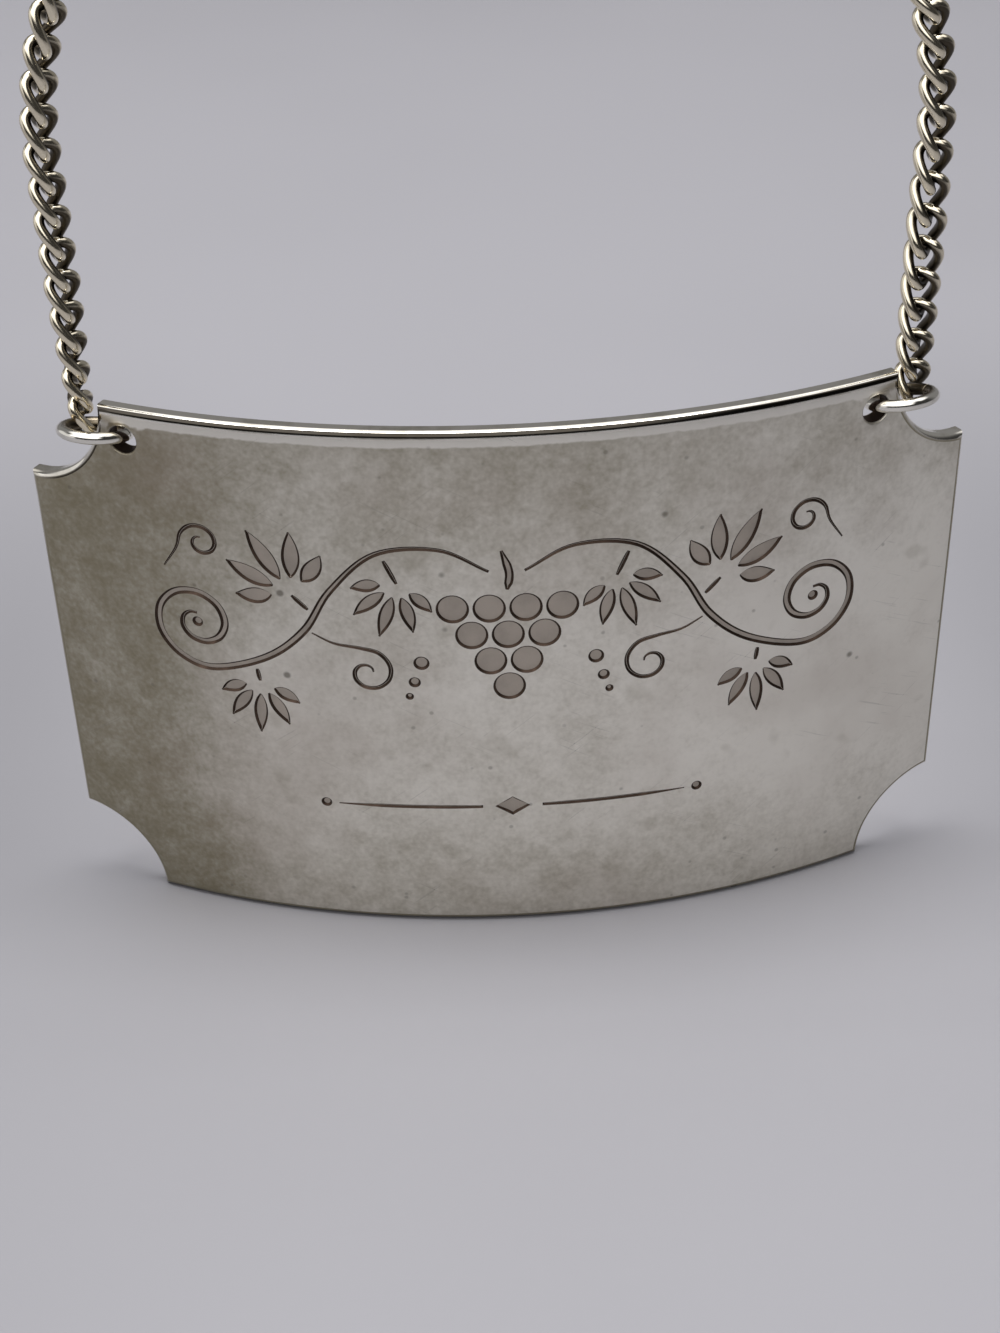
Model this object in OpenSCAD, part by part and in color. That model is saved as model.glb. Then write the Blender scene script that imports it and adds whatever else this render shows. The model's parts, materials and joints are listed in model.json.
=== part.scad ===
// A bowed silver label plate that hangs on a curb chain by two jump rings.
// Millimetres, +Z up, -Y to the front. The origin is the middle of the round
// that the top of the chain lies on, such as a bottle's neck or a peg.

/* [Plate] */
// Straight width of the plate from end to end
plate_w = 54; // [50:0.5:58]
// Height of the plate
plate_h = 34.5; // [30:0.5:40]
// Thickness of the silver sheet
plate_t = 1.1; // [0.9:0.1:1.3]
// Radius of the bowed front face
bow_r = 53.6; // [48:0.2:64]
// Radius of the four scooped corners
scoop_r = 5.2; // [4.8:0.1:5.6]
// Bevel along the top and bottom edges
edge_bevel = 0.15; // [0.05:0.05:0.25]

/* [Chain holes] */
// Metal left between a chain hole and its scooped corner
hole_web = 0.9; // [0.8:0.05:0.95]
// Depth of a chain hole's middle below the top edge
hole_drop = 1.85; // [1.75:0.05:2.1]
// Room round the ring's wire in a chain hole
hole_play = 0.5; // [0.48:0.02:0.56]

/* [Jump rings] */
// Wire of the jump rings
ring_wire = 0.7; // [0.65:0.05:0.75]
// Outside diameter of the jump rings
ring_od = 4.4; // [4.3:0.1:4.6]
// Distance of the ring's wire from the middle of its hole, towards the plate's end
ring_pull = 0.1; // [0.05:0.05:0.2]
// Slope of a ring down towards its back, in degrees
ring_slope = 16; // [10:1:17]
// Where the chain hooks on, in degrees round the ring from its outer end to the back
hook_turn = 38; // [36:1:42]

/* [Chain] */
// Wire of the chain links
link_wire = 0.62; // [0.56:0.02:0.64]
// Step from one link to the next
link_pitch = 1.85; // [1.8:0.05:1.95]
// Room between the wires of two links that hook together
hook_play = 0.12; // [0.1:0.01:0.16]
// Room between the strands of two links that pass side by side
strand_play = 0.32; // [0.3:0.02:0.36]
// Room on each side of the ring's wire in the eye of a link
eye_play = 0.15; // [0.14:0.01:0.18]
// Links that hang free on each side
run_links = 9; // [6:1:9]
// Links that lie on the round at the top
crown_links = 39; // [35:1:39]

/* [Turn of the chain's flat side, about the chain, in degrees] */
// At the left jump ring
turn_left_ring = 12; // [8:1:16]
// Along the left run, above the links that turn
turn_left_run = -22; // [-26:1:-14]
// At the right jump ring
turn_right_ring = 48; // [42:1:50]
// Where the right run shows its flat side most
turn_right_flat = 80; // [72:1:84]
// At the top of the right run
turn_right_top = 40; // [36:1:60]
// Links that turn, counted from a jump ring
turn_links = 4; // [4:1:5]

/* [Hidden] */
silver = "#b8b3a8";
bright_silver = "#d0cdc8";
curve_steps = 180;
past_face = 2;

// The plate, from the middle of its front face
half_angle = asin(plate_w / 2 / bow_r);
mid_r = bow_r - plate_t / 2;
hole_d = ring_wire + 2 * hole_play;
corner_to_hole = scoop_r + hole_web + hole_d / 2;
hole_from_end = sqrt(corner_to_hole ^ 2 - hole_drop ^ 2);
hole_angle = half_angle - asin(hole_from_end / bow_r);
hole_at = [mid_r * sin(hole_angle), bow_r - mid_r * cos(hole_angle), plate_h / 2 - hole_drop];

// The jump ring: outward along the plate, and back through the hole
ring_r = (ring_od - ring_wire) / 2;
ring_out = [cos(hole_angle), sin(hole_angle), 0];
ring_back = [-sin(hole_angle) * cos(ring_slope), cos(hole_angle) * cos(ring_slope), -sin(ring_slope)];
wire_at = hole_at + ring_pull * ring_out;
ring_at = wire_at + ring_r * ring_out;
hook_at = ring_at + ring_r * (cos(hook_turn) * ring_out + sin(hook_turn) * ring_back);

// A link: half its width and length, and how far its strands rise from its flat
eye_w = ring_wire + 2 * eye_play;
link_half_w = (eye_w + link_wire) / 2;
link_half_l = (link_pitch + link_wire + hook_play) / 2;
link_rise = (link_wire + strand_play) / 2;
link_rings = 18;
link_sides = 8;

// The chain's route: a round arc between two straight runs
run_x = hook_at.x;
crown_l = crown_links * link_pitch;
least_half = 30;
most_half = 150;
halvings = 40;
crown_half = arc_half_angle(crown_l / 2 / run_x, least_half, most_half, halvings);
crown_r = run_x / sin(crown_half);
crown_step = 2 * crown_half / crown_links;
run_top = crown_r * cos(crown_half);
hook_z = run_top - (run_links - 1) * link_pitch - link_half_l;

// The plate's front middle against the chain's route
plate_at = [0, -hook_at.y, hook_z - hook_at.z];

LEFT_LINKS = [for (i = [1 : run_links]) str("left_link_", i)];
CROWN_LINKS = [for (i = [1 : crown_links]) str("crown_link_", i)];
RIGHT_LINKS = [for (i = [1 : run_links]) str("right_link_", i)];

function unit(v) = v / norm(v);
function mix(a, b, t) = a + (b - a) * t;

// The half angle whose arc is so many times longer than its half chord
function arc_half_angle(ratio, low, high, steps) =
    let (mid = (low + high) / 2, longer = mid * PI / 180 / sin(mid) > ratio)
    steps == 0 ? mid : arc_half_angle(ratio, longer ? low : mid, longer ? mid : high, steps - 1);

// The middle line of a link's wire: an oval whose sides are twisted out of its flat
function link_line(f) = [link_half_w * cos(f), -link_rise * sin(2 * f), link_half_l * sin(f)];
function link_along(f) =
    unit([-link_half_w * sin(f), -2 * link_rise * cos(2 * f), link_half_l * cos(f)]);

// The turn of a link's flat side in each run, counted up from the ring, and in the crown, from the left
function left_turn(i) = mix(turn_left_ring, turn_left_run, min(1, (i - 1) / turn_links));
function right_turn(i) =
    i <= turn_links ? mix(turn_right_ring, turn_right_flat, (i - 1) / turn_links)
    : mix(turn_right_flat, turn_right_top, (i - 1 - turn_links) / (run_links - turn_links));
function crown_turn(i) = mix(turn_left_run, turn_right_top, (i - 0.5) / crown_links);

module curb_link() {
    points = [
        for (i = [0 : link_rings - 1])
            let (
                f = 360 * i / link_rings,
                at = link_line(f),
                along = link_along(f),
                out = unit(at - along * (at * along)),
                side = cross(along, out)
            )
            for (j = [0 : link_sides - 1])
                let (k = 360 * j / link_sides)
                at + link_wire / 2 * (out * cos(k) + side * sin(k))
    ];
    faces = [
        for (i = [0 : link_rings - 1], j = [0 : link_sides - 1])
            let (
                i2 = (i + 1) % link_rings,
                j2 = (j + 1) % link_sides,
                a = i * link_sides + j,
                b = i * link_sides + j2,
                c = i2 * link_sides + j2,
                d = i2 * link_sides + j
            )
            each [[a, c, b], [a, d, c]]
    ];
    color(bright_silver) polyhedron(points, faces);
}

module left_link(i) {
    translate([-run_x, 0, run_top - (run_links - i + 0.5) * link_pitch])
        rotate([0, 0, 90 + left_turn(i)])
            curb_link();
}

module crown_link(i) {
    lean = -crown_half + (i - 0.5) * crown_step;
    rotate([0, lean, 0])
        translate([0, 0, crown_r])
            rotate([0, 90, 0])
                rotate([0, 0, 90 + crown_turn(i)])
                    curb_link();
}

module right_link(i) {
    translate([run_x, 0, run_top - (run_links - i + 0.5) * link_pitch])
        rotate([0, 180, 0])
            rotate([0, 0, 90 + right_turn(i)])
                curb_link();
}

module right_jump_ring() {
    color(bright_silver)
        translate(plate_at + ring_at)
            rotate([0, 0, hole_angle])
                rotate([-ring_slope, 0, 0])
                    rotate_extrude($fn = curve_steps)
                        translate([ring_r, 0])
                            circle(d = ring_wire, $fn = curve_steps);
}

module left_jump_ring() {
    mirror([1, 0, 0]) right_jump_ring();
}

// A round cut of the plate, square to its face at an angle round the bow
module cut_at(angle, z, d) {
    rotate([0, 0, angle])
        translate([0, -bow_r - past_face, z])
            rotate([-90, 0, 0])
                cylinder(d = d, h = plate_t + 3 * past_face, $fn = curve_steps);
}

module label_plate() {
    back_r = bow_r - plate_t;
    section = [
        [bow_r - edge_bevel, -plate_h / 2], [bow_r, -plate_h / 2 + edge_bevel],
        [bow_r, plate_h / 2 - edge_bevel], [bow_r - edge_bevel, plate_h / 2],
        [back_r + edge_bevel, plate_h / 2], [back_r, plate_h / 2 - edge_bevel],
        [back_r, -plate_h / 2 + edge_bevel], [back_r + edge_bevel, -plate_h / 2]
    ];
    color(silver)
        translate(plate_at + [0, bow_r, 0])
            difference() {
                rotate([0, 0, -90 - half_angle])
                    rotate_extrude(angle = 2 * half_angle, $fn = curve_steps)
                        polygon(section);
                for (side = [-1, 1]) {
                    for (end = [-1, 1]) cut_at(side * half_angle, end * plate_h / 2, 2 * scoop_r);
                    cut_at(side * hole_angle, hole_at.z, hole_d);
                }
            }
}

label_plate();
left_jump_ring();
right_jump_ring();
for (i = [1 : run_links]) {
    left_link(i);
    right_link(i);
}
for (i = [1 : crown_links])
    crown_link(i);
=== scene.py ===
"""A bowed silver bottle label on a curb chain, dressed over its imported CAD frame."""

import json
import math

import bmesh
import bpy
import numpy as np
from bpy.props import FloatProperty, FloatVectorProperty, IntProperty, PointerProperty
from mathutils import Matrix, Vector
from mathutils.geometry import delaunay_2d_cdt
from mathutils.kdtree import KDTree


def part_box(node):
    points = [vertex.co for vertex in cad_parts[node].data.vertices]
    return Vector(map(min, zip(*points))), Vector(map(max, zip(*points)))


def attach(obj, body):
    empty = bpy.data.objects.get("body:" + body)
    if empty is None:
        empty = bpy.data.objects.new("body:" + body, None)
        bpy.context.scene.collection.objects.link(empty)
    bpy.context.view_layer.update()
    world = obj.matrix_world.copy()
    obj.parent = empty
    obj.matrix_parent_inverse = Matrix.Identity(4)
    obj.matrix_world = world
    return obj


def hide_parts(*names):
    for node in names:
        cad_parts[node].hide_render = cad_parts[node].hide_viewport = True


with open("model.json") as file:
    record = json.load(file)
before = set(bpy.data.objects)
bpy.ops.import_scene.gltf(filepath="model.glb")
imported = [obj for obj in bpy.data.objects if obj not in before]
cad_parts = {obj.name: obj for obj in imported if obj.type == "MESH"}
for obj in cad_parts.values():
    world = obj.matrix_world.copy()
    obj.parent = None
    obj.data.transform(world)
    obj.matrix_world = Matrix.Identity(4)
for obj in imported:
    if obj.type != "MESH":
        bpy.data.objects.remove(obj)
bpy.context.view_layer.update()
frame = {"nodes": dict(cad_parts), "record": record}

bl_info = {
    "name": "Silver bottle label",
    "version": (1, 0, 0),
    "blender": (4, 5, 0),
    "location": "3D View > Sidebar > Label",
    "description": "A bowed silver label plate with an engraved vine, hung on a curb chain",
    "category": "Add Mesh",
}

MM = 0.001
PLATE_LOW, PLATE_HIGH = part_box("label_plate")
PLATE_MIDDLE = (PLATE_LOW.z + PLATE_HIGH.z) / 2
SIDES = (-1, 1)
SHARP_ANGLE = math.radians(35.0)

# Faces of the plate by what they are, in the order of its materials
FACE, RIM, FLOOR, WALL = range(4)

# Steps of the plate's mesh
TOP_STEPS = 30
END_STEPS = 14
SCOOP_STEPS = 22
HOLE_STEPS = 40
HOLE_TURNS = np.radians([30.0, 60.0, 90.0])
ROUND_STEPS = 7
FLAT_PARTS = (0.15, 0.85)
WORN_WIDTH = 0.2 * MM
BACK_WIDTH = 0.4 * MM
SPARE_GAP = 0.4
WELD_GAP = 1e-5

# Where the plate's face darkens with tarnish and painted shade, and lightens to the right with
# painted light, in metres from its middle
TARNISH_AND_SHADE_LEFT = (-0.011, -0.023)
CLEAN_AND_LIT_RIGHT = (0.002, 0.016)
TARNISH_AND_SHADE_TOP = (0.0, 0.016)
TARNISH_AND_SHADE_FOOT = (-0.006, -0.017)

# Heights along the plate's rim where its looks change, in metres from its middle
TOP_EDGE = (0.0158, 0.0164)
UPPER_SCOOP = (0.0116, 0.0121)
LOWER_RIM = (0.012, 0.006)
# FOOT_SHADOW_EDGE is where the painted contact shadow along the foot begins
FOOT_SHADOW_EDGE = (-0.0168, -0.0171)
LEFT_HALF = (0.005, -0.005)

# Parts of the front edge's turn where its painted dark reflection line begins and ends
TURN_START = (0.3, 0.1)
DARK_REFLECTION_START = (0.12, 0.22)
DARK_REFLECTION_END = (0.66, 0.58)

# The vine's drawing, in steps of its own from its middle
STEM = ((0.9, 4.9), (3.4, 6.2), (6.6, 5.9), (9.0, 3.6), (10.5, 1.1), (12.6, -0.75))
STEM_SMOOTH = 9
VOLUTE = ((16.3, 0.9), -105.0, 1.55, 2.85, 0.55)
VOLUTE_POINTS = 15
LEAVES = (
    ((6.15, 5.55), (5.55, 4.2), -72.0, 0.8),
    ((10.2, 2.4), (11.0, 3.2), 60.0, 1.0),
    ((13.25, -1.6), (13.15, -2.35), -86.0, 0.8),
)
LEAF_STALK_POINTS = 8
LOBE_TURNS = np.radians([-64.0, -32.0, 0.0, 32.0, 64.0])
LOBE_LENGTHS = (0.62, 0.86, 1.0, 0.86, 0.62)
LOBE_FOOT, LOBE_WIDTH, LOBE_BEND = 0.25, 0.23, -0.3
PETAL_STEPS = 26
PETAL_LEAST = 0.1
TENDRILS = (
    ((10.1, 1.0), (9.0, 0.45), (7.3, -1.3), 75.0, 1.25, 1.6),
    ((17.8, 4.1), (17.0, 5.3), (15.6, 5.8), 20.0, 1.2, 1.15),
)
CURL_POINTS, CURL_SMOOTH, CURL_EYE = 12, 6, 0.3
BERRIES = ((4.5, -0.6, 0.42), (4.9, -1.8, 0.32), (5.2, -2.7, 0.22), (16.3, 0.9, 0.3))
BERRY_STEPS = 20
GRAPE_ROWS = ((4, 2.7), (3, 1.1), (2, -0.5), (1, -2.1))
GRAPE_GAP = 1.86
GRAPE_STEPS = 30
BUNCH_STALK = ((0.0, 3.8), (0.12, 4.8), (-0.25, 6.1))
BUNCH_SMOOTH = 8
TAPER_IN, TAPER_OUT = 0.2, 0.3
DEEPEST_LIP = 0.9

# The small rule's drawing, in the same steps
RULE_FROM, RULE_TO, RULE_WIDTH = 1.6, 9.4, 0.24
RULE_POINTS = 34
DOT_PLACE, DOT_RADIUS = 10.1, 0.3
DOT_STEPS = 18
LOZENGE_REACH, LOZENGE_SLOPE = 0.95, 1.5
LOZENGE_STEPS = 36

# Where the floor's painted shade lies, in metres across and back
FLOOR_SHADE_MIDDLE = 0.003
FLOOR_SHADE_ASIDE = (0.012**2, 0.04**2)
FLOOR_SHADE_BACK = (0.08, 0.02)
FLOOR_SHADE_BEHIND = (-0.012, 0.004)

# Where the parts of the mirrored room begin and end, as parts of the way into it
BACK_WALL = (-0.2, 0.4)
LEFT_WALL, LEFT_WALL_TOP = (-0.74, -0.86), (0.55, 0.35)
WINDOW_FOOT, WINDOW_BACK, WINDOW_RIGHT = (0.3, 0.5), (0.0, -0.25), (0.5, 0.2)
CEILING_FOOT, CEILING_FRONT = (0.64, 0.8), (-0.35, -0.15)
DOME = (-0.7, 0.7)
ROOM_COLOUR = (1.0, 0.99, 1.0)
CLIP_START = 5 * MM


# Settings


def length(name, description, millimetres):
    """A size property, given in millimetres and kept in metres."""
    return FloatProperty(
        name=name,
        description=description,
        default=millimetres * MM,
        min=0.0,
        precision=5,
        unit="LENGTH",
    )


def angle(name, description, degrees):
    """An angle property, given in degrees."""
    return FloatProperty(
        name=name, description=description, default=math.radians(degrees), subtype="ANGLE"
    )


def colour(name, description, value):
    """A colour property."""
    return FloatVectorProperty(
        name=name, description=description, default=value, min=0.0, max=1.0, subtype="COLOR"
    )


def share(name, description, value):
    """A property from 0 to 1."""
    return FloatProperty(
        name=name, description=description, default=value, min=0.0, max=1.0, subtype="FACTOR"
    )


def measure(name, description, value, unit="NONE"):
    """A property for a plain number."""
    return FloatProperty(name=name, description=description, default=value, unit=unit)


def position(name, description, value):
    """A property for a place in the frame, in metres."""
    return FloatVectorProperty(
        name=name, description=description, default=value, subtype="TRANSLATION"
    )


def steps_of(name, description, value, least):
    """A property for a number of steps."""
    return IntProperty(name=name, description=description, default=value, min=least)


class LabelPlateSettings(bpy.types.PropertyGroup):
    """Sizes and colours of the plate."""

    bow_radius: length("Bow radius", "Radius of the bowed front face", 53.6)
    thickness: length("Thickness", "Thickness of the silver sheet", 1.1)
    scoop_radius: length("Scoop radius", "Radius of the four scooped corners", 5.2)
    hole_radius: length("Hole radius", "Radius of the two chain holes", 0.85)
    hole_drop: length("Hole drop", "Depth of a hole's middle below the top edge", 1.85)
    hole_web: length("Hole web", "Metal left between a hole and its scooped corner", 0.9)
    hole_round: length("Hole round", "Rounding of the rims of the holes", 0.12)
    band_width: length("Band width", "Width of the slope round the front", 0.22)
    band_drop: length("Band drop", "Fall of the slope to the edge", 0.03)
    front_round: length("Front round", "Rounding of the front edge", 0.4)
    back_round: length("Back round", "Rounding of the back edge", 0.26)
    grid: length("Grid", "Distance of the points on the faces", 0.9)
    bright: colour("Bright", "Silver worn bright along the edge", (0.86, 0.83, 0.755))
    silver: colour("Silver", "Clean satin silver", (0.84, 0.81, 0.73))
    olive: colour("Olive", "Greenish tarnish", (0.275, 0.243, 0.165))
    brown: colour("Brown", "Brownish tarnish", (0.38, 0.315, 0.255))
    speck: colour("Specks", "Small dark spots", (0.17, 0.155, 0.125))
    # The dark line is a painted dark reflection along the turn of the front edge
    line: colour("Dark line", "Tarnish along the turn of the front edge", (0.03, 0.024, 0.017))
    satin: share("Satin", "Roughness of the satin face", 0.36)
    polish: share("Polish", "Roughness of the polished edge", 0.1)


class LabelEngravingSettings(bpy.types.PropertyGroup):
    """Sizes and colours of the engraved vine."""

    centre_height: length("Centre height", "Height of the vine's middle on the plate", 3.0)
    rule_drop: length("Rule drop", "Depth of the small rule below the plate's middle", 8.2)
    unit: length("Unit", "Size of one step of the vine's drawing", 1.12)
    depth: length("Depth", "Depth of the cut", 0.12)
    wall: length("Wall", "Width of the sloped wall of the cut", 0.14)
    stem_width: length("Stem width", "Width of the vine's stem", 0.5)
    tendril_width: length("Tendril width", "Width of the tendrils", 0.28)
    grape_radius: length("Grape radius", "Radius of a grape", 0.95)
    leaf_length: length("Leaf length", "Length of the largest leaf", 4.7)
    frosted: colour("Frosted floor", "Floor of the cut", (0.52, 0.465, 0.40))
    # The dark wall colour is painted shade in the walls of the cut and of the chain holes
    dark: colour("Dark wall", "Wall of the cut", (0.06, 0.042, 0.032))
    frost: share("Frost", "Roughness of the floor of the cut", 0.5)


class LabelRingSettings(bpy.types.PropertyGroup):
    """Sizes and colours of the jump rings."""

    wire: length("Wire", "Thickness of the ring's wire", 0.7)
    seam_width: length("Seam width", "Width of the seam where the ring closes", 0.07)
    seam_depth: length("Seam depth", "Depth of the seam where the ring closes", 0.05)
    steps: steps_of("Steps", "Sections round a ring", 120, 12)
    sides: steps_of("Sides", "Sides of the wire", 24, 6)
    silver: colour("Silver", "Polished silver", (0.78, 0.755, 0.69))
    # The tarnish colour stands for tarnish with painted shade on the inner side of the ring
    tarnish: colour("Tarnish", "Dulled silver", (0.20, 0.165, 0.115))
    polish: share("Polish", "Roughness of the wire", 0.1)


class LabelChainSettings(bpy.types.PropertyGroup):
    """Sizes and colours of the curb chain."""

    wire: length("Wire", "Thickness of a link's wire", 0.6)
    half_width: length("Half width", "Half the width of a link's middle line", 0.81)
    half_length: length("Half length", "Half the length of a link's middle line", 1.295)
    rise: length("Rise", "How far a link's sides are twisted out of its flat", 0.47)
    steps: steps_of("Steps", "Sections along a link", 48, 12)
    sides: steps_of("Sides", "Sides of the wire", 14, 6)
    silver: colour("Silver", "Polished silver", (0.76, 0.69, 0.54))
    # The tarnish colour stands for tarnish with painted shade inside the links
    tarnish: colour("Tarnish", "Dark silver inside the links", (0.03, 0.022, 0.014))
    polish: share("Polish", "Roughness of the wire", 0.13)


class LabelStageSettings(bpy.types.PropertyGroup):
    """The floor, the light and the camera."""

    eye: position("Eye", "Place of the camera", (-0.002922, -0.107685, 0.041631))
    heading: angle("Heading", "Turn of the camera about the vertical", -1.363)
    look_down: angle("Look down", "Angle of the view below the horizon", 34.809)
    roll: angle("Roll", "Tilt of the camera about its view", -1.694)
    lens: measure("Lens", "Focal length in millimetres", 57.55)
    floor_size: length("Floor size", "Side of the floor", 1200)
    floor: colour("Floor", "Colour of the floor", (0.4, 0.395, 0.425))
    dome_front: share("Front dome", "Even light on the floor from the front", 0.46)
    dome_back: share("Back dome", "Even light on the floor from the back", 0.52)
    backdrop: share("Backdrop", "Brightness of the room where the camera sees it", 0.6)
    sky_top: measure("Ceiling", "Mirrored brightness overhead", 1.5)
    sky_side: measure("Left wall", "Mirrored brightness at the left", 0.8)
    sky_window: measure("Window", "Mirrored brightness over the camera", 2.0)
    sky_back: share("Back wall", "Mirrored brightness behind the label", 0.22)
    sky_front: share("Front wall", "Mirrored brightness behind the camera", 0.04)
    lamp_place: position("Lamp place", "Place of the soft lamp", (-0.03, 0.02, 0.36))
    lamp_width: length("Lamp width", "Width of the soft lamp", 300)
    lamp_depth: length("Lamp depth", "Depth of the soft lamp from front to back", 140)
    lamp_power: measure("Lamp power", "Power of the soft lamp", 1.28, "POWER")


# Shader nodes


class Wire:
    """A socket of a node tree that can be used in sums."""

    def __init__(self, finish, socket):
        self.finish = finish
        self.socket = socket

    def sum(self, operation, first, second):
        """A Math node of two values."""
        settings = {"operation": operation}
        return self.finish.node("ShaderNodeMath", settings, {0: first, 1: second})

    def __add__(self, other):
        return self.sum("ADD", self, other)

    def __radd__(self, other):
        return self.sum("ADD", other, self)

    def __sub__(self, other):
        return self.sum("SUBTRACT", self, other)

    def __rsub__(self, other):
        return self.sum("SUBTRACT", other, self)

    def __mul__(self, other):
        return self.sum("MULTIPLY", self, other)

    def __rmul__(self, other):
        return self.sum("MULTIPLY", other, self)


class Finish:
    """A node tree that is written as expressions."""

    def __init__(self, tree):
        self.tree = tree

    def node(self, kind, settings=None, sockets=None, output=0):
        """Adds a node, sets it up, fills its sockets, and returns one of its outputs."""
        made = self.tree.nodes.new(kind)
        for name, value in (settings or {}).items():
            setattr(made, name, value)
        for name, value in (sockets or {}).items():
            self.fill(made.inputs[name], value)
        return Wire(self, made.outputs[output])

    def fill(self, socket, value):
        """Links a wire to a socket, or sets the socket's value."""
        if isinstance(value, Wire):
            self.tree.links.new(value.socket, socket)
        elif socket.type == "RGBA":
            socket.default_value = (*value, 1.0)
        else:
            socket.default_value = value

    def mix(self, factor, first, second):
        """A mix of two colours."""
        settings = {"data_type": "RGBA"}
        return self.node("ShaderNodeMix", settings, {0: factor, 6: first, 7: second}, 2)

    def ramp(self, value, low, high):
        """A value that rises smoothly from 0 at low to 1 at high."""
        settings = {"interpolation_type": "SMOOTHSTEP"}
        sockets = {"Value": value, "From Min": low, "From Max": high}
        return self.node("ShaderNodeMapRange", settings, sockets)

    def place(self):
        """The point of the surface in the frame, in metres."""
        return self.node("ShaderNodeTexCoord", output="Object")

    def parts(self, vector, axes):
        """The parts of a vector along the named axes."""
        kind = "ShaderNodeSeparateXYZ"
        return [self.node(kind, None, {"Vector": vector}, axis) for axis in axes]

    def noise(self, vector, scale, detail=3.0, roughness=0.55):
        """Cloudy noise."""
        sockets = {"Vector": vector, "Scale": scale, "Detail": detail, "Roughness": roughness}
        return self.node("ShaderNodeTexNoise", None, sockets)

    def stretched(self, vector, turn, scale):
        """The vector turned about the front's axis and scaled."""
        sockets = {"Vector": vector, "Rotation": (0.0, turn, 0.0), "Scale": scale}
        return self.node("ShaderNodeMapping", {"vector_type": "TEXTURE"}, sockets)

    def carried(self, name):
        """A number that the mesh carries at its points."""
        return self.node("ShaderNodeAttribute", {"attribute_name": name}, output="Fac")


class MaterialFinish(Finish):
    """A material, which is metal unless it is dressed otherwise."""

    def __init__(self, name):
        self.material = bpy.data.materials.new(name)
        self.material.use_nodes = True
        super().__init__(self.material.node_tree)
        self.shader = self.tree.nodes["Principled BSDF"]
        self.shader.inputs["Metallic"].default_value = 1.0

    def dress(self, **values):
        """Fills the shader's sockets, named with _ for a space."""
        for name, value in values.items():
            self.fill(self.shader.inputs[name.replace("_", " ")], value)

    def bump(self, height, distance, strength):
        """Presses a height into the surface."""
        sockets = {"Height": height, "Distance": distance, "Strength": strength}
        self.dress(Normal=self.node("ShaderNodeBump", None, sockets))


def faded(first, second, factor):
    """A value that goes from the first to the second as the factor goes from 0 to 1."""
    return first + (second - first) * factor


def shaded(tone, factor):
    """A colour made darker or lighter."""
    return tuple(factor * part for part in tone)


def hairlines(finish, place, turn, stretch, least):
    """Thin scattered scratches along one direction, 0 to 1."""
    along = finish.stretched(place, turn, stretch)
    lines = finish.noise(along, 1.0, 2.0, 0.5)
    patches = finish.ramp(finish.noise(place, 260.0, 1.0), 0.5, 0.62)
    return finish.ramp(lines, least, least + 0.05) * patches


def scattered_specks(finish, place, scale, least, reach):
    """Round specks in some of the cells of a loose grid, 0 to 1."""
    sockets = {"Vector": place, "Scale": scale}
    away = finish.node("ShaderNodeTexVoronoi", None, sockets)
    cell = finish.node("ShaderNodeTexVoronoi", None, sockets, "Color")
    chance = finish.node("ShaderNodeSeparateColor", None, {"Color": cell})
    return finish.ramp(away, reach, 0.4 * reach) * finish.ramp(chance, least, least + 0.02)


def satin_silver(plate):
    """The plate's satin face: bright silver at the middle and right, tarnished with painted shade
    towards the left, top and foot, specked and scratched.
    """
    finish = MaterialFinish("satin_silver")
    place = finish.place()
    drift = finish.noise(place, 48.0)
    clouds = finish.noise(place, 240.0, 5.0, 0.6)
    fine = finish.noise(place, 900.0, 3.0, 0.6)
    dust = finish.noise(place, 3200.0, 1.0)
    grain = finish.noise(place, 5200.0, 2.0)
    across, up = finish.parts(place, "XZ")
    height = up - PLATE_MIDDLE
    sway = (drift - 0.5) * 0.012
    # left, top and low darken the face with tarnish and painted shade; right lightens it with
    # painted light
    left = finish.ramp(across + sway, *TARNISH_AND_SHADE_LEFT)
    right = finish.ramp(across + sway, *CLEAN_AND_LIT_RIGHT)
    top = finish.ramp(height + sway, *TARNISH_AND_SHADE_TOP)
    low = finish.ramp(height + sway, *TARNISH_AND_SHADE_FOOT)
    mottled = (clouds - 0.5) * 0.5 + (fine - 0.5) * 0.35 + (dust - 0.5) * 0.3
    clean_and_lit = (1 - left * 0.72) * (1 - top * 0.4) * (1 - low * 0.28)
    olive = finish.ramp(0.95 - clean_and_lit * (0.7 + right * 0.22) + mottled, 0.0, 1.0)
    brown = finish.ramp(finish.noise(place, 95.0, 4.0), 0.42, 0.75) * 0.3
    smudges = finish.ramp(finish.noise(place, 330.0, 2.0), 0.64, 0.74) * 0.2
    specks = scattered_specks(finish, place, 330.0, 0.62, 0.1)
    dots = scattered_specks(finish, place, 900.0, 0.82, 0.16)
    rising = hairlines(finish, place, 0.5, (0.005, 0.005, 0.00013), 0.66)
    falling = hairlines(finish, place, -0.7, (0.004, 0.004, 0.00012), 0.67)
    scratches = rising + falling
    top_edge = finish.ramp(height, *TOP_EDGE)
    worn = finish.ramp(finish.carried("wear") + (fine - 0.5) * 0.8, 0.25, 0.6) * top_edge
    tone = finish.mix(olive, plate.silver, plate.olive)
    tone = finish.mix(brown, tone, plate.brown)
    tone = finish.mix(smudges, tone, plate.olive)
    tone = finish.mix(worn * 0.85, tone, plate.bright)
    tone = finish.mix(specks * 0.75 + dots * 0.4, tone, plate.speck)
    tone = finish.mix(scratches * 0.2, tone, plate.speck)
    rough = plate.satin + olive * 0.06 + grain * 0.06 - worn * 0.1 - scratches * 0.1
    finish.dress(Base_Color=tone, Roughness=rough)
    finish.bump(grain * 0.5 + clouds * 0.6 - scratches * 0.8 - specks * 0.7, 4e-6, 0.5)
    return finish.material


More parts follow.
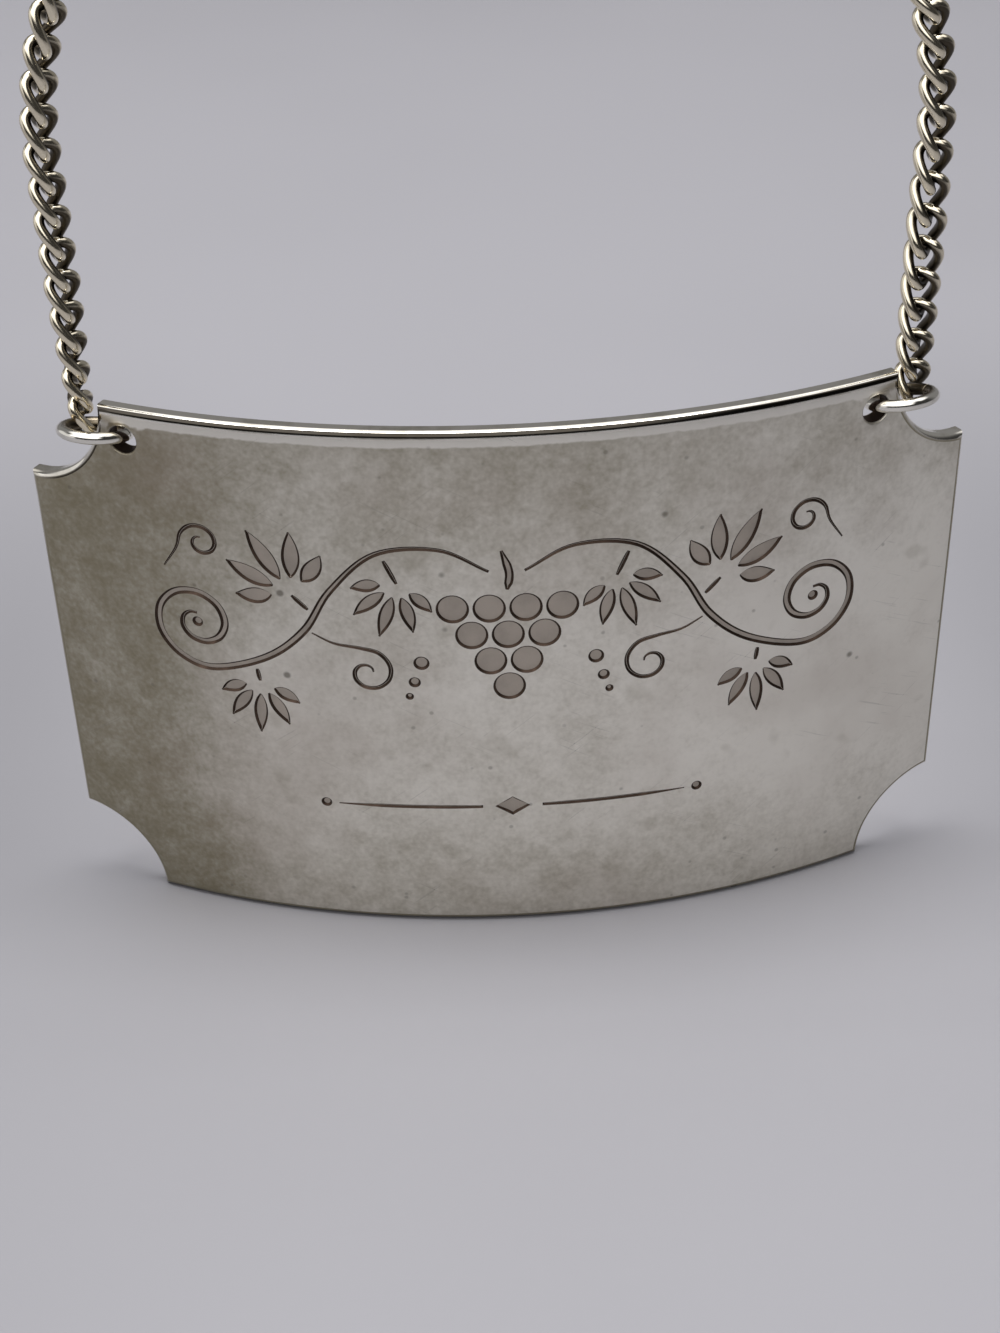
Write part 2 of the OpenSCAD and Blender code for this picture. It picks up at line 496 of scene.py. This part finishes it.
def polished_edge(plate):
    """The plate's rim: bright above, with painted dark reflection lines, dull below, and a painted
    shadow line at the foot.
    """
    finish = MaterialFinish("polished_edge")
    place = finish.place()
    across, up = finish.parts(place, "XZ")
    height = up - PLATE_MIDDLE
    dull = finish.ramp(finish.noise(place, 320.0, 4.0), 0.45, 0.75) * 0.6
    nicks = finish.noise(place, 2600.0, 2.0)
    top_edge = finish.ramp(height, *TOP_EDGE)
    lower = finish.ramp(height, *LOWER_RIM) * (1 - dull)
    foot = finish.ramp(height, *FOOT_SHADOW_EDGE)
    left_scoop = finish.ramp(height, *UPPER_SCOOP) * finish.ramp(across, *LEFT_HALF)
    turned = finish.carried("wear") - 1
    start = finish.ramp(turned, *TURN_START) * (1 - top_edge)
    # Painted dark reflection along the front turn of the top edge and of the left scoop
    top_dark_reflection = finish.ramp(turned, *DARK_REFLECTION_START) * finish.ramp(turned, *DARK_REFLECTION_END) * top_edge
    line = top_dark_reflection * 0.96 + start * left_scoop * 0.9
    tone = finish.mix(dull + lower * 0.7, plate.bright, plate.olive)
    tone = finish.mix(start * 0.85, tone, plate.olive)
    # Painted contact shadow along the foot, in the specks' colour
    tone = finish.mix(foot * 0.85, tone, plate.speck)
    finish.dress(
        Base_Color=finish.mix(line, tone, plate.line),
        Roughness=plate.polish + dull * 0.12 + lower * 0.2 + start * 0.2,
    )
    finish.bump(nicks, 3e-6, 0.25)
    return finish.material


def frosted_cut(engraving):
    """The frosted floor of the engraving."""
    finish = MaterialFinish("frosted_cut")
    place = finish.place()
    stipple = finish.noise(place, 7000.0, 2.0)
    shade = finish.ramp(finish.noise(place, 420.0, 4.0), 0.35, 0.75)
    finish.dress(
        Base_Color=finish.mix(shade * 0.7, engraving.frosted, shaded(engraving.frosted, 0.72)),
        Roughness=engraving.frost + stipple * 0.12,
    )
    finish.bump(stipple, 8e-6, 0.5)
    return finish.material


def cut_wall_shade(engraving):
    """The wall of the engraving and of the chain holes, painted dark as shade."""
    finish = MaterialFinish("cut_wall_shade")
    rub = finish.ramp(finish.noise(finish.place(), 900.0), 0.5, 0.8)
    finish.dress(
        Base_Color=finish.mix(rub, engraving.dark, shaded(engraving.dark, 2.4)),
        Roughness=0.55 + rub * 0.1,
    )
    return finish.material


def wire_silver(name, wire):
    """Polished wire, tarnished and darkened with painted shade on the inner side of its loop."""
    finish = MaterialFinish(name)
    place = finish.place()
    clouds = finish.noise(place, 700.0)
    lines = finish.noise(place, 4200.0, 2.0)
    # The inner side of the loop: tarnish with painted shade
    dull = finish.ramp(finish.carried("inside") + clouds * 0.5, 0.45, 0.82)
    finish.dress(
        Base_Color=finish.mix(dull * 0.95, wire.silver, wire.tarnish),
        Roughness=wire.polish + dull * 0.18 + clouds * 0.05,
    )
    finish.bump(lines, 2e-6, 0.3)
    return finish.material


def pale_floor(stage):
    """The floor's pale paper, with painted shade at both sides of the plate."""
    finish = MaterialFinish("pale_floor")
    place = finish.place()
    clouds = finish.ramp(finish.noise(place, 9.0), 0.3, 0.7)
    paper = finish.noise(place, 900.0, 2.0)
    across, back = finish.parts(place, "XY")
    aside = across - FLOOR_SHADE_MIDDLE
    painted_side_shade = finish.ramp(aside * aside, *FLOOR_SHADE_ASIDE) * finish.ramp(back, *FLOOR_SHADE_BACK)
    behind = finish.ramp(back, *FLOOR_SHADE_BEHIND)
    tone = finish.mix(clouds, stage.floor, shaded(stage.floor, 0.93))
    # Painted shade on the floor beside the plate's ends
    tone = finish.mix(painted_side_shade * (0.3 + behind * 0.65), tone, shaded(stage.floor, 0.72))
    finish.dress(Metallic=0.0, Base_Color=tone, Roughness=0.55)
    finish.bump(paper, 2e-5, 0.2)
    return finish.material


# Meshes


def new_piece(name, points, faces, materials, kinds=None, carried=None):
    """A mesh object with smooth faces, sharp at corners, and numbers carried at its points."""
    mesh = bpy.data.meshes.new(name)
    mesh.from_pydata(points, [], faces)
    turn_outwards(mesh)
    for material in materials:
        mesh.materials.append(material)
    mesh.polygons.foreach_set("use_smooth", [True] * len(mesh.polygons))
    if kinds is not None:
        mesh.polygons.foreach_set("material_index", kinds)
    for key, values in (carried or {}).items():
        mesh.attributes.new(key, "FLOAT", "POINT").data.foreach_set("value", values)
    mesh.set_sharp_from_angle(angle=SHARP_ANGLE)
    mesh.validate()
    mesh.update()
    piece = bpy.data.objects.new(name, mesh)
    bpy.context.scene.collection.objects.link(piece)
    return piece


def turn_outwards(mesh):
    """Turns all faces of a closed mesh outwards."""
    work = bmesh.new()
    work.from_mesh(mesh)
    bmesh.ops.recalc_face_normals(work, faces=work.faces)
    work.to_mesh(mesh)
    work.free()


def even_turns(steps):
    """Angles in even steps once round."""
    return 2 * np.pi * np.arange(steps) / steps


def node_corners(name):
    """The corners of a CAD node's mesh."""
    return np.array([corner.co for corner in frame["nodes"][name].data.vertices])


def node_frame(name):
    """The middle of a CAD node, and its axes from the one it spreads along least to most."""
    corners = np.unique(np.round(node_corners(name), 8), axis=0)
    middle = corners.mean(axis=0)
    axes = np.linalg.eigh(np.cov((corners - middle).T))[1]
    return middle, axes[:, 0], axes[:, 1], axes[:, 2]


# Rings and links of wire


def swept_ring(line, along, radius, sides):
    """Points, faces and inner side of a closed wire, from its middle line and directions."""
    steps = len(line)
    turns = even_turns(sides)
    out = line - along * np.sum(line * along, axis=1, keepdims=True)
    out /= np.linalg.norm(out, axis=1, keepdims=True)
    side = np.cross(along, out)
    ring = out[:, None] * np.cos(turns)[:, None] + side[:, None] * np.sin(turns)[:, None]
    points = line[:, None] + ring * radius[:, None, None]
    inside = np.tile((1 - np.cos(turns)) / 2, steps)
    faces = []
    for i in range(steps):
        near, far = i * sides, (i + 1) % steps * sides
        for j in range(sides):
            after = (j + 1) % sides
            faces.append((near + j, near + after, far + after, far + j))
    return points.reshape(-1, 3), faces, inside


def seamed_ring(ring, radius):
    """A ring of wire that closes with a fine seam."""
    seam = ring.seam_width / radius
    turns = np.linspace(seam, 2 * np.pi - seam, ring.steps)
    turns = np.concatenate([[-seam / 2, 0.0, seam / 2], turns])
    line = np.stack([np.cos(turns), np.sin(turns), 0 * turns], axis=1) * radius
    along = np.stack([-np.sin(turns), np.cos(turns), 0 * turns], axis=1)
    wire = np.full(len(turns), ring.wire / 2)
    wire[1] -= ring.seam_depth
    return swept_ring(line, along, wire, ring.sides)


def curb_link(chain):
    """A link of wire: an oval whose sides are twisted out of its flat."""
    turns = even_turns(chain.steps)
    wide, rise, long = chain.half_width, chain.rise, chain.half_length
    line = [wide * np.cos(turns), -rise * np.sin(2 * turns), long * np.sin(turns)]
    along = [-wide * np.sin(turns), -2 * rise * np.cos(2 * turns), long * np.cos(turns)]
    line, along = np.stack(line, axis=1), np.stack(along, axis=1)
    along /= np.linalg.norm(along, axis=1, keepdims=True)
    wire = np.full(chain.steps, chain.wire / 2)
    return swept_ring(line, along, wire, chain.sides)


# The plate, laid flat: along the bow, up, and depth behind the front


def leftward(ring, flat):
    """A ring of point numbers in the order that keeps its inside on the left."""
    area = sum(flat[a].cross(flat[b]) for a, b in zip(ring, ring[1:] + ring[:1]))
    return ring if area > 0 else ring[::-1]


class FlatPlate:
    """Points and faces of the plate before it is bowed."""

    def __init__(self, settings):
        self.settings = settings
        self.half_height = (PLATE_HIGH.z - PLATE_LOW.z) / 2
        self.half_angle = math.asin((PLATE_HIGH.x - PLATE_LOW.x) / 2 / settings.bow_radius)
        self.end = settings.bow_radius * self.half_angle
        self.points = []
        self.wear = []
        self.faces = []
        self.kinds = []

    def point(self, along, up, depth, wear=0.0):
        """Adds a point and returns its number."""
        self.points.append((along, up, depth))
        self.wear.append(wear)
        return len(self.points) - 1

    def face(self, corners, kind):
        """Adds a face."""
        self.faces.append(corners)
        self.kinds.append(kind)

    def strip(self, first, second, kind):
        """Joins two closed loops of points."""
        for i in range(len(first)):
            j = (i + 1) % len(first)
            self.face((first[i], first[j], second[j], second[i]), kind)

    def loop(self, flat, depth, wear):
        """Adds a closed loop of points at one depth."""
        return [self.point(along, up, depth, wear) for along, up in flat]

    def run(self, across, depth):
        """The distance along the front for a straight distance across, at a depth."""
        radius = self.settings.bow_radius
        return radius * math.asin(across / (radius - depth))

    def outline(self, inset, depth):
        """The plate's outline, inset from its edge, clockwise from the top middle."""
        wide = self.settings.scoop_radius + inset
        start = math.asin(inset / wide)
        scoop = np.linspace(start, math.pi / 2 - start, SCOOP_STEPS)
        top = self.half_height - inset
        edge = self.end - self.run(inset, depth)
        arc = [
            (self.end - self.run(wide * math.cos(f), depth), self.half_height - wide * math.sin(f))
            for f in scoop
        ]
        level = [(arc[0][0] * i / TOP_STEPS, top) for i in range(TOP_STEPS)]
        upright = [(edge, arc[-1][1] * (1 - i / END_STEPS)) for i in range(1, END_STEPS)]
        quarter = level + arc + upright
        lower = [(x, -z) for x, z in reversed(quarter[1:])]
        right = quarter + [(edge, 0.0)] + lower
        left = [(-x, -z) for x, z in right]
        return right + left

    def hole(self, side, spread, depth):
        """A loop round a chain hole, spread outwards from its wall."""
        plate = self.settings
        wide = plate.hole_radius + spread
        reach = plate.scoop_radius + plate.hole_web + plate.hole_radius
        from_end = math.sqrt(reach**2 - plate.hole_drop**2)
        middle = self.end - self.run(from_end, 0.0)
        up = self.half_height - plate.hole_drop
        return [
            (side * (middle + self.run(wide * math.cos(f), depth)), up + wide * math.sin(f))
            for f in even_turns(HOLE_STEPS)
        ]

    def sheet(self, outer, loops, depth, worn_loop, kind):
        """Fills between an outline and the loops in it, and returns the numbers of their points."""
        flat, rings = [], []
        for loop in (outer, *loops):
            rings.append(list(range(len(flat), len(flat) + len(loop))))
            flat += [Vector(p) / MM for p in loop]
        edges = [(r[i], r[(i + 1) % len(r)]) for r in rings for i in range(len(r))]
        bounds = [leftward(ring, flat) for ring in rings]
        between = self.between(flat, worn_loop)
        found = delaunay_2d_cdt(flat + between, edges, bounds, 0, WELD_GAP)
        corners, _, faces, origins, _, owners = found
        numbers = {}
        for triangle, owner in zip(faces, owners):
            if list(owner) != [0]:
                continue
            for i in triangle:
                if i not in numbers:
                    at_edge = any(source < len(outer) for source in origins[i])
                    p = corners[i] * MM
                    numbers[i] = self.point(p.x, p.y, depth, 1.0 if at_edge else 0.0)
            self.face([numbers[i] for i in triangle], kind)
        where = {source: i for i, sources in enumerate(origins) for source in sources}
        return [[numbers[where[i]] for i in ring] for ring in rings]

    def between(self, flat, worn_loop):
        """Points of a worn loop and of a grid that keep their distance from the given ones."""
        fixed = KDTree(len(flat))
        for i, p in enumerate(flat):
            fixed.insert((p.x, p.y, 0.0), i)
        fixed.balance()
        step = self.settings.grid / MM
        columns = int(self.end / MM / step)
        rows = int(self.half_height / MM / step)
        worn = [Vector(p) / MM for p in worn_loop]
        grid = [
            Vector(((i + 0.5 * (j % 2)) * step, j * step))
            for i in range(-columns, columns + 1)
            for j in range(-rows, rows + 1)
        ]
        kept = []
        for points, least in ((worn, SPARE_GAP), (grid, SPARE_GAP * step)):
            kept += [p for p in points if fixed.find((p.x, p.y, 0.0))[2] > least]
        return kept

    def bowed(self):
        """The points on the bow, in the frame."""
        radius = self.settings.bow_radius
        flat = np.array(self.points)
        turn = flat[:, 0] / radius
        reach = radius - flat[:, 2]
        across = reach * np.sin(turn)
        back = PLATE_LOW.y + radius - reach * np.cos(turn)
        return np.stack([across, back, PLATE_MIDDLE + flat[:, 1]], axis=1)


# The engraved vine, drawn flat in steps of its own


class Cut:
    """A closed cut: its outline, the outline of its floor, and the floor's depths, 0 to 1."""

    def __init__(self, outline, floor, depths, pairs):
        self.outline = outline
        self.floor = floor
        self.depths = depths
        self.pairs = pairs

    def put(self, unit, up):
        """Scales the drawing to the plate and lifts it to its place."""
        self.outline = self.outline * unit + np.array([0.0, up])
        self.floor = self.floor * unit + np.array([0.0, up])


def smooth_line(corners, steps):
    """A smooth line through points, as an array."""
    p = np.array(corners, float)
    p = np.vstack([2 * p[0] - p[1], p, 2 * p[-1] - p[-2]])
    line = []
    for a, b, c, d in zip(p, p[1:], p[2:], p[3:]):
        second = 2 * a - 5 * b + 4 * c - d
        third = 3 * b - a - 3 * c + d
        for t in np.arange(steps) / steps:
            line.append(0.5 * (2 * b + (c - a) * t + second * t**2 + third * t**3))
    line.append(p[-2])
    return np.array(line)


def stroke(line, widths, wall):
    """A cut along a line whose width changes."""
    line = np.asarray(line, float)
    half = np.asarray(widths, float) / 2
    ahead = np.gradient(line, axis=0)
    ahead /= np.linalg.norm(ahead, axis=1, keepdims=True)
    across = np.stack([-ahead[:, 1], ahead[:, 0]], axis=1)
    lip = np.minimum(wall, DEEPEST_LIP * half)
    left, right = line + across * half[:, None], line - across * half[:, None]
    narrow = (half - lip)[:, None]
    middle = line.copy()
    middle[0] += ahead[0] * lip[0]
    middle[-1] -= ahead[-1] * lip[-1]
    floor_left, floor_right = middle + across * narrow, middle - across * narrow
    depths = np.concatenate([lip, lip[::-1]]) / wall
    outline = np.vstack([left, right[::-1]])
    floor = np.vstack([floor_left, floor_right[::-1]])
    return Cut(outline, floor, depths, True)


def blob(middle, reach, wall):
    """A cut round a middle point, from its reach at even turns."""
    turns = even_turns(len(reach))
    way = np.stack([np.cos(turns), np.sin(turns)], axis=1)
    far = reach[:, None]
    outline = np.array(middle) + way * far
    floor = np.array(middle) + way * (far - wall)
    return Cut(outline, floor, np.ones(len(reach)), False)


def disc(middle, radius, wall, steps):
    """A round cut."""
    return blob(middle, np.full(steps, radius), wall)


def lozenge(wall):
    """A cut in the shape of a lozenge."""
    turns = even_turns(LOZENGE_STEPS)
    reach = LOZENGE_REACH / (np.abs(np.cos(turns)) + LOZENGE_SLOPE * np.abs(np.sin(turns)))
    return blob((0.0, 0.0), reach, wall)


def petal(base, direction, size, width, bend, wall):
    """A leaf's lobe: a stroke that swells and comes to a point."""
    t = np.linspace(0.0, 1.0, PETAL_STEPS)
    turn = direction + bend * (t - 0.5)
    steps = np.stack([np.cos(turn), np.sin(turn)], axis=1) * size / (PETAL_STEPS - 1)
    line = np.array(base) + np.cumsum(steps, axis=0) - steps[0]
    swell = np.sin(np.pi * t**0.85) ** 0.8
    return stroke(line, np.maximum(width * swell, PETAL_LEAST), wall)


def leaf(base, direction, size, wall):
    """Five lobes spread from a leaf's foot."""
    lobes = []
    for turn, long in zip(LOBE_TURNS, LOBE_LENGTHS):
        way = direction + turn
        foot = np.array(base) + LOBE_FOOT * size * np.array([math.cos(way), math.sin(way)])
        reach = (1 - LOBE_FOOT) * size * long
        lobes.append(petal(foot, way, reach, LOBE_WIDTH * size, LOBE_BEND * turn, wall))
    return lobes


def coil(middle, start, turns, first, last, steps):
    """A spiral line inwards."""
    t = np.linspace(0.0, 1.0, steps)
    reach = first + (last - first) * t**0.8
    f = start + 2 * np.pi * turns * t
    return np.array(middle) + np.stack([reach * np.cos(f), reach * np.sin(f)], axis=1)


def tapered(count, width, start=0.35, end=0.35):
    """Widths that thin out at both ends of a line."""
    t = np.linspace(0.0, 1.0, count)
    rise = np.minimum(1.0, start + (1 - start) * t / TAPER_IN)
    fall = np.minimum(1.0, end + (1 - end) * (1 - t) / TAPER_OUT)
    return width * rise * fall


def mirrored(cut):
    """The same cut on the other side of the middle."""
    flip = np.array([-1.0, 1.0])
    return Cut(cut.outline * flip, cut.floor * flip, cut.depths, cut.pairs)


def vine_half(engraving):
    """The right half of the vine: its stem, leaves, tendrils and berries."""
    unit = engraving.unit
    wall = engraving.wall / unit
    thin = engraving.tendril_width / unit
    middle, start, turns, first, last = VOLUTE
    end = coil(middle, math.radians(start), turns, first, last, VOLUTE_POINTS)
    line = smooth_line((*STEM, *end), STEM_SMOOTH)
    cuts = [stroke(line, tapered(len(line), engraving.stem_width / unit), wall)]
    for start, base, turn, size in LEAVES:
        stalk = np.linspace(start, base, LEAF_STALK_POINTS)
        cuts.append(stroke(stalk, tapered(len(stalk), thin, 0.6, 0.6), wall))
        cuts += leaf(base, math.radians(turn), size * engraving.leaf_length / unit, wall)
    for start, bend, middle, turn, turns, reach in TENDRILS:
        curl = coil(middle, math.radians(turn), turns, reach, CURL_EYE, CURL_POINTS)
        line = smooth_line((start, bend, *curl), CURL_SMOOTH)
        cuts.append(stroke(line, tapered(len(line), thin), wall))
    cuts += [disc((x, z), reach, wall, BERRY_STEPS) for x, z, reach in BERRIES]
    return cuts


def small_rule(wall):
    """A lozenge between two thin tapered lines that end in dots."""
    cuts = [lozenge(wall)]
    for side in SIDES:
        reach = np.linspace(RULE_FROM, RULE_TO, RULE_POINTS)
        line = np.stack([side * reach, 0.0 * reach], axis=1)
        cuts.append(stroke(line, tapered(len(line), RULE_WIDTH, 0.8, 0.3), wall))
        cuts.append(disc((side * DOT_PLACE, 0.0), DOT_RADIUS, wall, DOT_STEPS))
    return cuts


def vine(engraving):
    """All cuts of the engraving, in metres on the flat plate."""
    unit = engraving.unit
    wall = engraving.wall / unit
    half = vine_half(engraving)
    cuts = half + [mirrored(cut) for cut in half]
    for count, z in GRAPE_ROWS:
        for i in range(count):
            x = (i - (count - 1) / 2) * GRAPE_GAP
            cuts.append(disc((x, z), engraving.grape_radius / unit, wall, GRAPE_STEPS))
    stalk = smooth_line(BUNCH_STALK, BUNCH_SMOOTH)
    cuts.append(stroke(stalk, tapered(len(stalk), engraving.stem_width / unit), wall))
    for cut in cuts:
        cut.put(unit, engraving.centre_height)
    rule = small_rule(wall)
    for cut in rule:
        cut.put(unit, -engraving.rule_drop)
    return cuts + rule


def carve(flat, cut, lip, depth):
    """Adds a cut's walls and floor below the loop of points round it."""
    floor = [flat.point(x, z, depth * part) for (x, z), part in zip(cut.floor, cut.depths)]
    flat.strip(lip, floor, WALL)
    if cut.pairs:
        last = len(floor) - 1
        for i in range(len(floor) // 2 - 1):
            flat.face((floor[i], floor[i + 1], floor[last - i - 1], floor[last - i]), FLOOR)
    else:
        x, z = cut.floor.mean(axis=0)
        middle = flat.point(x, z, depth)
        for i in range(len(floor)):
            flat.face((floor[i], floor[(i + 1) % len(floor)], middle), FLOOR)


# The plate with its rim, holes and engraving


def rim_profile(plate):
    """Inset, depth and share of the front's turn at the rim's steps, up to the back's outline."""
    turns = np.linspace(0.0, math.pi / 2, ROUND_STEPS)
    front, back = plate.front_round, plate.back_round
    steps = [
        (front * (1 - math.sin(f)), plate.band_drop + front * (1 - math.cos(f)), f / turns[-1])
        for f in turns
    ]
    flat = (plate.band_drop + front, plate.thickness - back)
    steps += [(0.0, flat[0] + part * (flat[1] - flat[0]), 1.0) for part in FLAT_PARTS]
    steps += [
        (back * (1 - math.cos(f)), plate.thickness - back * (1 - math.sin(f)), 1.0)
        for f in turns[:-1]
    ]
    return steps


def pierce(flat, side, front_lip, back_lip):
    """Joins a chain hole's loops on both faces by rounded rims and a dark wall."""
    plate = flat.settings
    front, back = [front_lip], [back_lip]
    for turn in HOLE_TURNS:
        spread = plate.hole_round * (1 - math.sin(turn))
        depth = plate.hole_round * (1 - math.cos(turn))
        front.append(flat.loop(flat.hole(side, spread, depth), depth, 1.0))
        depth = plate.thickness - depth
        back.append(flat.loop(flat.hole(side, spread, depth), depth, 1.0))
    for near, far in (*zip(front, front[1:]), *zip(back, back[1:])):
        flat.strip(near, far, FACE)
    flat.strip(front[-1], back[-1], WALL)


def flat_plate(plate, engraving):
    """All points and faces of the plate, laid flat."""
    flat = FlatPlate(plate)
    cuts = vine(engraving)
    band = plate.front_round + plate.band_width
    holes = [flat.hole(side, plate.hole_round, 0.0) for side in SIDES]
    loops = holes + [cut.outline for cut in cuts]
    worn = flat.outline(band + WORN_WIDTH, 0.0)
    front, *lips = flat.sheet(flat.outline(band, 0.0), loops, 0.0, worn, FACE)
    for cut, lip in zip(cuts, lips[len(holes):]):
        carve(flat, cut, lip, engraving.depth)
    rim = [front]
    for inset, depth, turned in rim_profile(plate):
        rim.append(flat.loop(flat.outline(inset, depth), depth, 1.0 + turned))
    holes = [flat.hole(side, plate.hole_round, plate.thickness) for side in SIDES]
    outer, inner = (
        flat.outline(plate.back_round + more, plate.thickness) for more in (0.0, BACK_WIDTH)
    )
    back, *back_lips = flat.sheet(outer, holes, plate.thickness, inner, FACE)
    rim.append(back)
    flat.strip(rim[0], rim[1], FACE)
    for near, far in zip(rim[1:], rim[2:]):
        flat.strip(near, far, RIM)
    for side, front_lip, back_lip in zip(SIDES, lips, back_lips):
        pierce(flat, side, front_lip, back_lip)
    return flat


# Operators


class LABEL_OT_plate(bpy.types.Operator):
    """Build the engraved plate over its CAD node"""

    bl_idname = "label.plate"
    bl_label = "Engraved plate"

    def execute(self, context):
        plate, engraving = context.scene.label_plate, context.scene.label_engraving
        flat = flat_plate(plate, engraving)
        materials = [
            satin_silver(plate),
            polished_edge(plate),
            frosted_cut(engraving),
            cut_wall_shade(engraving),
        ]
        carried = {"wear": flat.wear}
        piece = new_piece("plate", flat.bowed(), flat.faces, materials, flat.kinds, carried)
        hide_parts("label_plate")
        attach(piece, "label_plate")
        return {"FINISHED"}


class LABEL_OT_rings(bpy.types.Operator):
    """Build the two jump rings over their CAD nodes"""

    bl_idname = "label.rings"
    bl_label = "Jump rings"

    def execute(self, context):
        ring = context.scene.label_rings
        material = wire_silver("ring_silver", ring)
        for node in ("left_jump_ring", "right_jump_ring"):
            middle, axis, _, _ = node_frame(node)
            across = np.cross((0.0, 0.0, 1.0), axis)
            across /= np.linalg.norm(across)
            axes = np.stack([across, np.cross(axis, across), axis], axis=1)
            reach = np.abs((node_corners(node) - middle) @ across).max()
            points, faces, inside = seamed_ring(ring, reach - ring.wire / 2)
            piece = new_piece(
                node.replace("_jump", "") + "_wire",
                points @ axes.T + middle,
                faces,
                [material],
                carried={"inside": inside},
            )
            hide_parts(node)
            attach(piece, node)
        return {"FINISHED"}


class LABEL_OT_chain(bpy.types.Operator):
    """Build every link of the curb chain over its CAD node"""

    bl_idname = "label.chain"
    bl_label = "Curb chain"

    def execute(self, context):
        chain = context.scene.label_chain
        material = wire_silver("chain_silver", chain)
        points, faces, inside = curb_link(chain)
        for body, nodes in frame["record"]["behaviour"]["bodies"].items():
            for node in nodes:
                if "_link_" not in node:
                    continue
                middle, _, wide, long = node_frame(node)
                axes = np.stack([wide, np.cross(long, wide), long], axis=1)
                piece = new_piece(
                    node + "_wire",
                    points @ axes.T + middle,
                    faces,
                    [material],
                    carried={"inside": inside},
                )
                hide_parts(node)
                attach(piece, body)
        return {"FINISHED"}


class LABEL_OT_stage(bpy.types.Operator):
    """Set up the floor, the light and the camera"""

    bl_idname = "label.stage"
    bl_label = "Stage"

    def execute(self, context):
        stage = context.scene.label_stage
        self.lay_floor(stage)
        self.light_room(context.scene, stage)
        self.hang_lamp(context.scene, stage)
        self.set_camera(context.scene, stage)
        context.scene.view_settings.view_transform = "Standard"
        return {"FINISHED"}

    def lay_floor(self, stage):
        """A square floor under the plate's foot."""
        half = stage.floor_size / 2
        square = ((-half, -half), (half, -half), (half, half), (-half, half))
        corners = [(x, y, PLATE_LOW.z) for x, y in square]
        floor = new_piece("floor", corners, [(0, 1, 2, 3)], [pale_floor(stage)])

    def light_room(self, scene, stage):
        """Even light on the floor, and a room with a window in the mirror of the silver."""
        world = bpy.data.worlds.new("room")
        world.use_nodes = True
        scene.world = world
        room = Finish(world.node_tree)
        background = world.node_tree.nodes["Background"]
        way = room.node("ShaderNodeTexCoord", output="Generated")
        side, back, up = room.parts(way, "XYZ")
        left_wall = room.ramp(side, *LEFT_WALL) * room.ramp(up, *LEFT_WALL_TOP)
        window = room.ramp(up, *WINDOW_FOOT) * room.ramp(back, *WINDOW_BACK)
        window = window * room.ramp(side, *WINDOW_RIGHT)
        ceiling = room.ramp(up, *CEILING_FOOT) * room.ramp(back, *CEILING_FRONT)
        mirrored_room = faded(stage.sky_front, stage.sky_back, room.ramp(back, *BACK_WALL))
        mirrored_room = faded(mirrored_room, stage.sky_side, left_wall)
        mirrored_room = faded(mirrored_room, stage.sky_window, window)
        mirrored_room = faded(mirrored_room, stage.sky_top, ceiling)
        mirror = room.node("ShaderNodeLightPath", output="Is Glossy Ray")
        seen = room.node("ShaderNodeLightPath", output="Is Camera Ray")
        light = faded(stage.dome_front, stage.dome_back, room.ramp(back, *DOME))
        light = faded(light, mirrored_room, mirror)
        light = faded(light, stage.backdrop, seen)
        room.fill(background.inputs["Color"], ROOM_COLOUR)
        room.fill(background.inputs["Strength"], light)

    def hang_lamp(self, scene, stage):
        """A soft lamp overhead, which shines straight down."""
        lamp = bpy.data.lights.new("softbox", "AREA")
        lamp.shape = "RECTANGLE"
        lamp.size = stage.lamp_width
        lamp.size_y = stage.lamp_depth
        lamp.energy = stage.lamp_power
        holder = bpy.data.objects.new("softbox", lamp)
        holder.location = stage.lamp_place
        scene.collection.objects.link(holder)

    def set_camera(self, scene, stage):
        """The camera at the photo's place, with its turn, slope and roll."""
        data = bpy.data.cameras.new("camera")
        data.lens = stage.lens
        data.clip_start = CLIP_START
        camera = bpy.data.objects.new("camera", data)
        scene.collection.objects.link(camera)
        turn = (
            Matrix.Rotation(stage.heading, 4, "Z")
            @ Matrix.Rotation(math.pi / 2 - stage.look_down, 4, "X")
            @ Matrix.Rotation(stage.roll, 4, "Z")
        )
        camera.matrix_world = Matrix.Translation(stage.eye) @ turn
        scene.camera = camera


class LABEL_PT_panel(bpy.types.Panel):
    """Lists the pieces of the label and their settings."""

    bl_idname = "LABEL_PT_panel"
    bl_label = "Silver bottle label"
    bl_space_type = "VIEW_3D"
    bl_region_type = "UI"
    bl_category = "Label"

    def draw(self, context):
        for operator, settings in STEPS:
            box = self.layout.box()
            box.operator(operator.bl_idname)
            for group in settings:
                values = getattr(context.scene, group)
                for name in values.__annotations__:
                    box.prop(values, name)


SETTINGS = {
    "label_plate": LabelPlateSettings,
    "label_engraving": LabelEngravingSettings,
    "label_rings": LabelRingSettings,
    "label_chain": LabelChainSettings,
    "label_stage": LabelStageSettings,
}
STEPS = (
    (LABEL_OT_stage, ("label_stage",)),
    (LABEL_OT_plate, ("label_plate", "label_engraving")),
    (LABEL_OT_rings, ("label_rings",)),
    (LABEL_OT_chain, ("label_chain",)),
)


def register():
    """Registers the settings, the operators and the panel."""
    for name, group in SETTINGS.items():
        bpy.utils.register_class(group)
        setattr(bpy.types.Scene, name, PointerProperty(type=group))
    for operator, _ in STEPS:
        bpy.utils.register_class(operator)
    bpy.utils.register_class(LABEL_PT_panel)


def unregister():
    """Takes them away again."""
    bpy.utils.unregister_class(LABEL_PT_panel)
    for operator, _ in reversed(STEPS):
        bpy.utils.unregister_class(operator)
    for name, group in reversed(SETTINGS.items()):
        delattr(bpy.types.Scene, name)
        bpy.utils.unregister_class(group)


def main():
    """Builds everything."""
    register()
    bpy.ops.label.stage()
    bpy.ops.label.plate()
    bpy.ops.label.rings()
    bpy.ops.label.chain()


if __name__ == "__main__":
    main()
